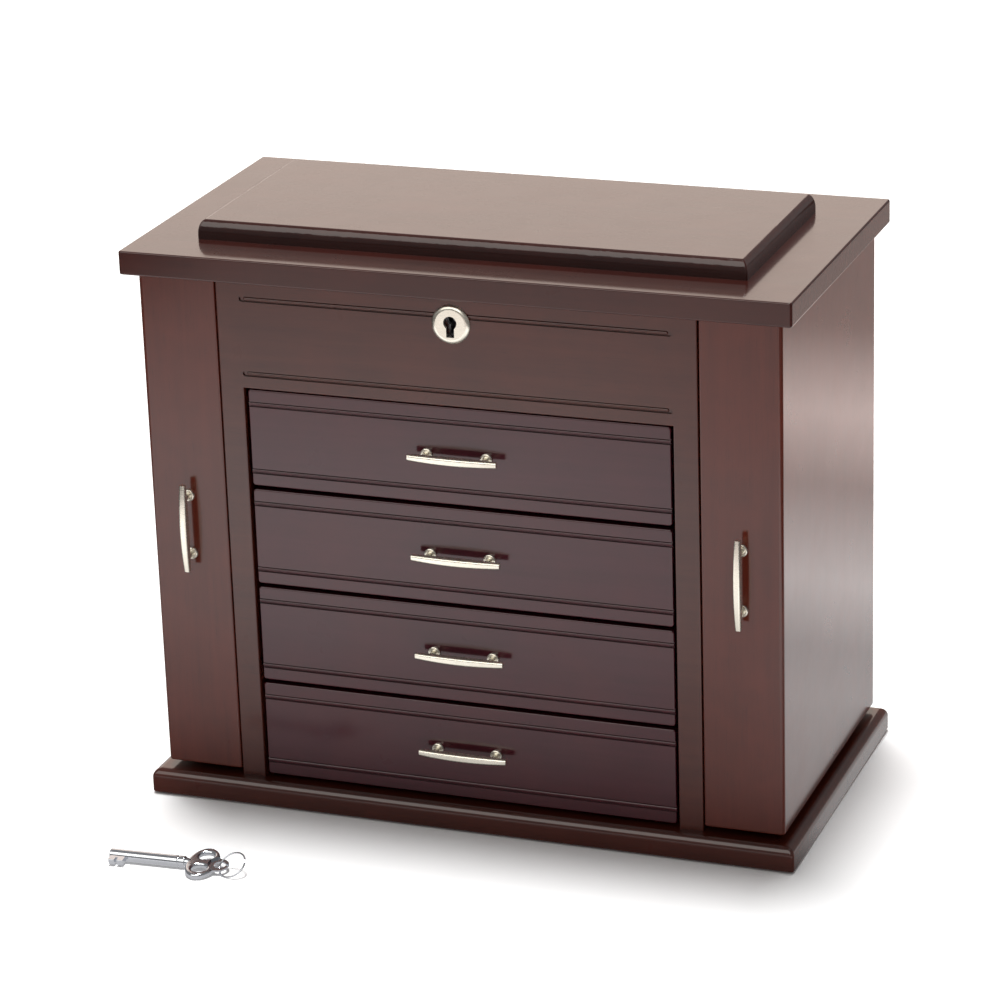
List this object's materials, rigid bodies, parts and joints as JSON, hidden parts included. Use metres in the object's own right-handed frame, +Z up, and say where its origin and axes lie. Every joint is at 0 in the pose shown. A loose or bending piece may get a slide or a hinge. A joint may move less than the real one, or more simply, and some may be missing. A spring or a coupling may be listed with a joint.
{
  "type": "jewelry armoire",
  "caption": "Table-top jewelry armoire with drawers, swing-out necklace wings at both sides, a lift-up mirrored lid, a lock with a loose key, bar pulls and a moulded base.",
  "frame": {"origin": "centre of the felt underside of the base, on the table", "axes": "+Z up, +X to the right of a viewer facing the drawers, -Y out of the drawer fronts"},
  "size_m": [0.354, 0.2809, 0.3103],
  "materials": {
    "espresso_lacquer": "satin-gloss espresso-mahogany lacquer over wood",
    "drawer_wood": "matt dark stain",
    "velvet": "cream flocked velvet",
    "satin_cloth": "cream satin cloth",
    "felt": "black felt",
    "nickel": "warm satin nickel plate",
    "catch_steel": "zinc-plated steel",
    "catch_plastic": "dark brown plastic with a magnet",
    "hinge_brass": "antique brass",
    "key_chrome": "bright nickel-chrome plate",
    "mirror": "silvered mirror glass"
  },
  "bodies": {
    "carcass": {"base_felt": "felt", "base_board": "espresso_lacquer", "left_partition": "espresso_lacquer", "right_partition": "espresso_lacquer", "back_panel": "espresso_lacquer", "face_frame": "espresso_lacquer", "tray_floor": "espresso_lacquer", "tray_lining": "velvet", "tray_dividers": "velvet", "ring_rolls": "velvet", "drawer_runners": "drawer_wood", "bay_linings": "velvet", "magnet_catches": "catch_plastic", "fixed_hinge_leaves": "hinge_brass", "hinge_pins": "hinge_brass", "lock_case": "catch_steel", "lock_escutcheon": "nickel"},
    "lid": {"lid_board": "espresso_lacquer", "lid_raised_panel": "espresso_lacquer", "lid_mirror_frame": "espresso_lacquer", "lid_mirror": "mirror", "lock_strike": "catch_steel", "lid_hinge_leaves": "hinge_brass"},
    "drawer_1": {"drawer_1_front": "espresso_lacquer", "drawer_1_box": "drawer_wood", "drawer_1_lining": "velvet", "drawer_1_handle": "nickel"},
    "drawer_2": {"drawer_2_front": "espresso_lacquer", "drawer_2_box": "drawer_wood", "drawer_2_lining": "velvet", "drawer_2_handle": "nickel"},
    "drawer_3": {"drawer_3_front": "espresso_lacquer", "drawer_3_box": "drawer_wood", "drawer_3_lining": "velvet", "drawer_3_handle": "nickel"},
    "drawer_4": {"drawer_4_front": "espresso_lacquer", "drawer_4_box": "drawer_wood", "drawer_4_lining": "velvet", "drawer_4_handle": "nickel"},
    "left_wing": {"left_wing_side_panel": "espresso_lacquer", "left_wing_front_panel": "espresso_lacquer", "left_wing_lining": "velvet", "left_wing_hook_rail": "espresso_lacquer", "left_wing_hooks": "nickel", "left_wing_pouch": "satin_cloth", "left_wing_handle": "nickel", "left_wing_catch_plates": "catch_steel", "left_wing_hinge_leaves": "hinge_brass"},
    "right_wing": {"right_wing_side_panel": "espresso_lacquer", "right_wing_front_panel": "espresso_lacquer", "right_wing_lining": "velvet", "right_wing_hook_rail": "espresso_lacquer", "right_wing_hooks": "nickel", "right_wing_pouch": "satin_cloth", "right_wing_handle": "nickel", "right_wing_catch_plates": "catch_steel", "right_wing_hinge_leaves": "hinge_brass"},
    "lock_bolt": {"lock_bolt": "catch_steel"},
    "key": {"key": "key_chrome"},
    "key_ring": {"key_ring": "key_chrome"}
  },
  "joints": [
    {"name": "lid_hinge", "type": "hinge", "parent": "carcass", "child": "lid", "pos_m": [0, 0.0932, 0.2886], "axis": [-1, 0, 0], "range_deg": [0, 95]},
    {"name": "drawer_1_slide", "type": "slide", "parent": "carcass", "child": "drawer_1", "axis": [0, -1, 0], "range_m": [0, 0.11]},
    {"name": "drawer_2_slide", "type": "slide", "parent": "carcass", "child": "drawer_2", "axis": [0, -1, 0], "range_m": [0, 0.11]},
    {"name": "drawer_3_slide", "type": "slide", "parent": "carcass", "child": "drawer_3", "axis": [0, -1, 0], "range_m": [0, 0.11]},
    {"name": "drawer_4_slide", "type": "slide", "parent": "carcass", "child": "drawer_4", "axis": [0, -1, 0], "range_m": [0, 0.11]},
    {"name": "left_wing_hinge", "type": "hinge", "parent": "carcass", "child": "left_wing", "pos_m": [-0.161, 0.09175, 0.15], "axis": [0, 0, -1], "range_deg": [0, 95]},
    {"name": "right_wing_hinge", "type": "hinge", "parent": "carcass", "child": "right_wing", "pos_m": [0.161, 0.09175, 0.15], "axis": [0, 0, 1], "range_deg": [0, 95]},
    {"name": "lock_bolt_slide", "type": "slide", "parent": "carcass", "child": "lock_bolt", "axis": [1, 0, 0], "range_m": [0, 0.004]},
    {"name": "key_slide", "type": "slide", "parent": "carcass", "child": "key", "axis": [-1, 0, 0], "range_m": [0, 0.1]},
    {"name": "key_ring_swing", "type": "hinge", "parent": "key", "child": "key_ring", "pos_m": [-0.10349, -0.17187, 0.00302], "axis": [0.0473, -0.8467, -0.5299], "range_deg": [0, 12]}
  ]
}
